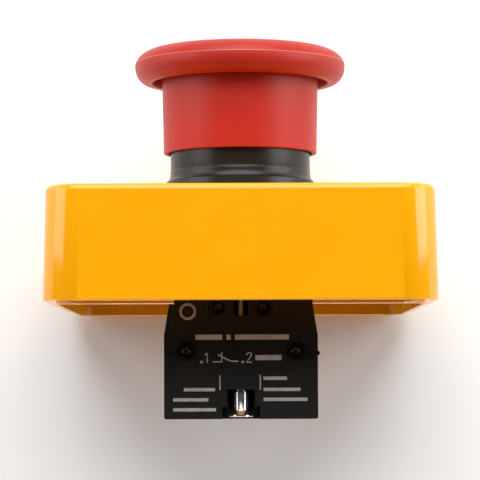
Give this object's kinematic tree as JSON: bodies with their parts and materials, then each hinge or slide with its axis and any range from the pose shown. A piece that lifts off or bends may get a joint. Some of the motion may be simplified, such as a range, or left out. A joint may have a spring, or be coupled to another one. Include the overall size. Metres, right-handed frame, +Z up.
{
  "type": "emergency stop push button on a station cover",
  "caption": "Mushroom push button with turn-to-release, seated through a square station cover, with its mounting collar and a normally closed contact block behind the panel.",
  "frame": {"origin": "on the surface the station lies on, under the middle of its box: the cover lies on one of its side walls", "axes": "-Y is the way the button faces, +Y is the way it is pressed and the way the contact block stands out of the cover, +Z is up"},
  "size_m": [0.071, 0.071, 0.071],
  "materials": {
    "yellow_abs": "gloss moulded ABS",
    "red_polyamide": "fine matt moulding",
    "black_polyamide": "satin moulding",
    "white_acetal": "turned or moulded",
    "black_rubber": "matt",
    "zinc_die_cast": "as cast",
    "plated_steel": "zinc plated",
    "spring_steel": "drawn wire",
    "chromed_steel": "polished",
    "contact_brass": "stamped sheet"
  },
  "bodies": {
    "station": {"station_cover": "yellow_abs", "cover_screw_1": "plated_steel", "cover_screw_2": "plated_steel", "cover_screw_3": "plated_steel", "cover_screw_4": "plated_steel", "cover_screw_seal_1": "black_rubber", "cover_screw_seal_2": "black_rubber", "cover_screw_seal_3": "black_rubber", "cover_screw_seal_4": "black_rubber", "operator_body": "zinc_die_cast", "bezel_collar": "black_polyamide", "panel_gasket": "black_rubber", "lip_seal": "black_rubber", "return_spring": "spring_steel", "latch_clip": "spring_steel", "mounting_collar": "zinc_die_cast", "clamp_screw_1": "plated_steel", "clamp_screw_2": "plated_steel", "block_shell_front": "black_polyamide", "block_shell_rear": "black_polyamide", "housing_pin_1": "black_polyamide", "housing_pin_2": "black_polyamide", "housing_pin_3": "black_polyamide", "housing_pin_4": "black_polyamide", "contact_spring": "spring_steel", "terminal_1": "contact_brass", "terminal_2": "contact_brass", "terminal_screw_1": "plated_steel", "terminal_screw_2": "plated_steel", "clamp_washer_1": "plated_steel", "clamp_washer_2": "plated_steel", "fixing_screw": "chromed_steel"},
    "pusher": {"pusher": "white_acetal"},
    "mushroom": {"mushroom_cap": "red_polyamide", "stem": "plated_steel", "stem_clip": "spring_steel"},
    "plunger": {"plunger": "red_polyamide", "contact_bridge": "contact_brass"}
  },
  "joints": [
    {"name": "press", "type": "slide", "parent": "station", "child": "pusher", "axis": [0, 1, 0], "range_m": [0, 0.004], "stiffness_N_per_m": 2500, "springref_m": -0.006, "deforming": ["return_spring"]},
    {"name": "turn_to_release", "type": "hinge", "parent": "pusher", "child": "mushroom", "pos_m": [0, 0, 0.0355], "axis": [0, 1, 0], "range_deg": [0, 45], "stiffness_Nm_per_rad": 0.1, "springref_deg": -11.46},
    {"name": "plunger_slide", "type": "slide", "parent": "station", "child": "plunger", "axis": [0, 1, 0], "range_m": [0, 0.004], "stiffness_N_per_m": 300, "springref_m": -0.003, "deforming": ["contact_spring"]}
  ],
  "couplings": [
    {"joint": "plunger_slide", "follows": "press", "ratio": 1}
  ]
}
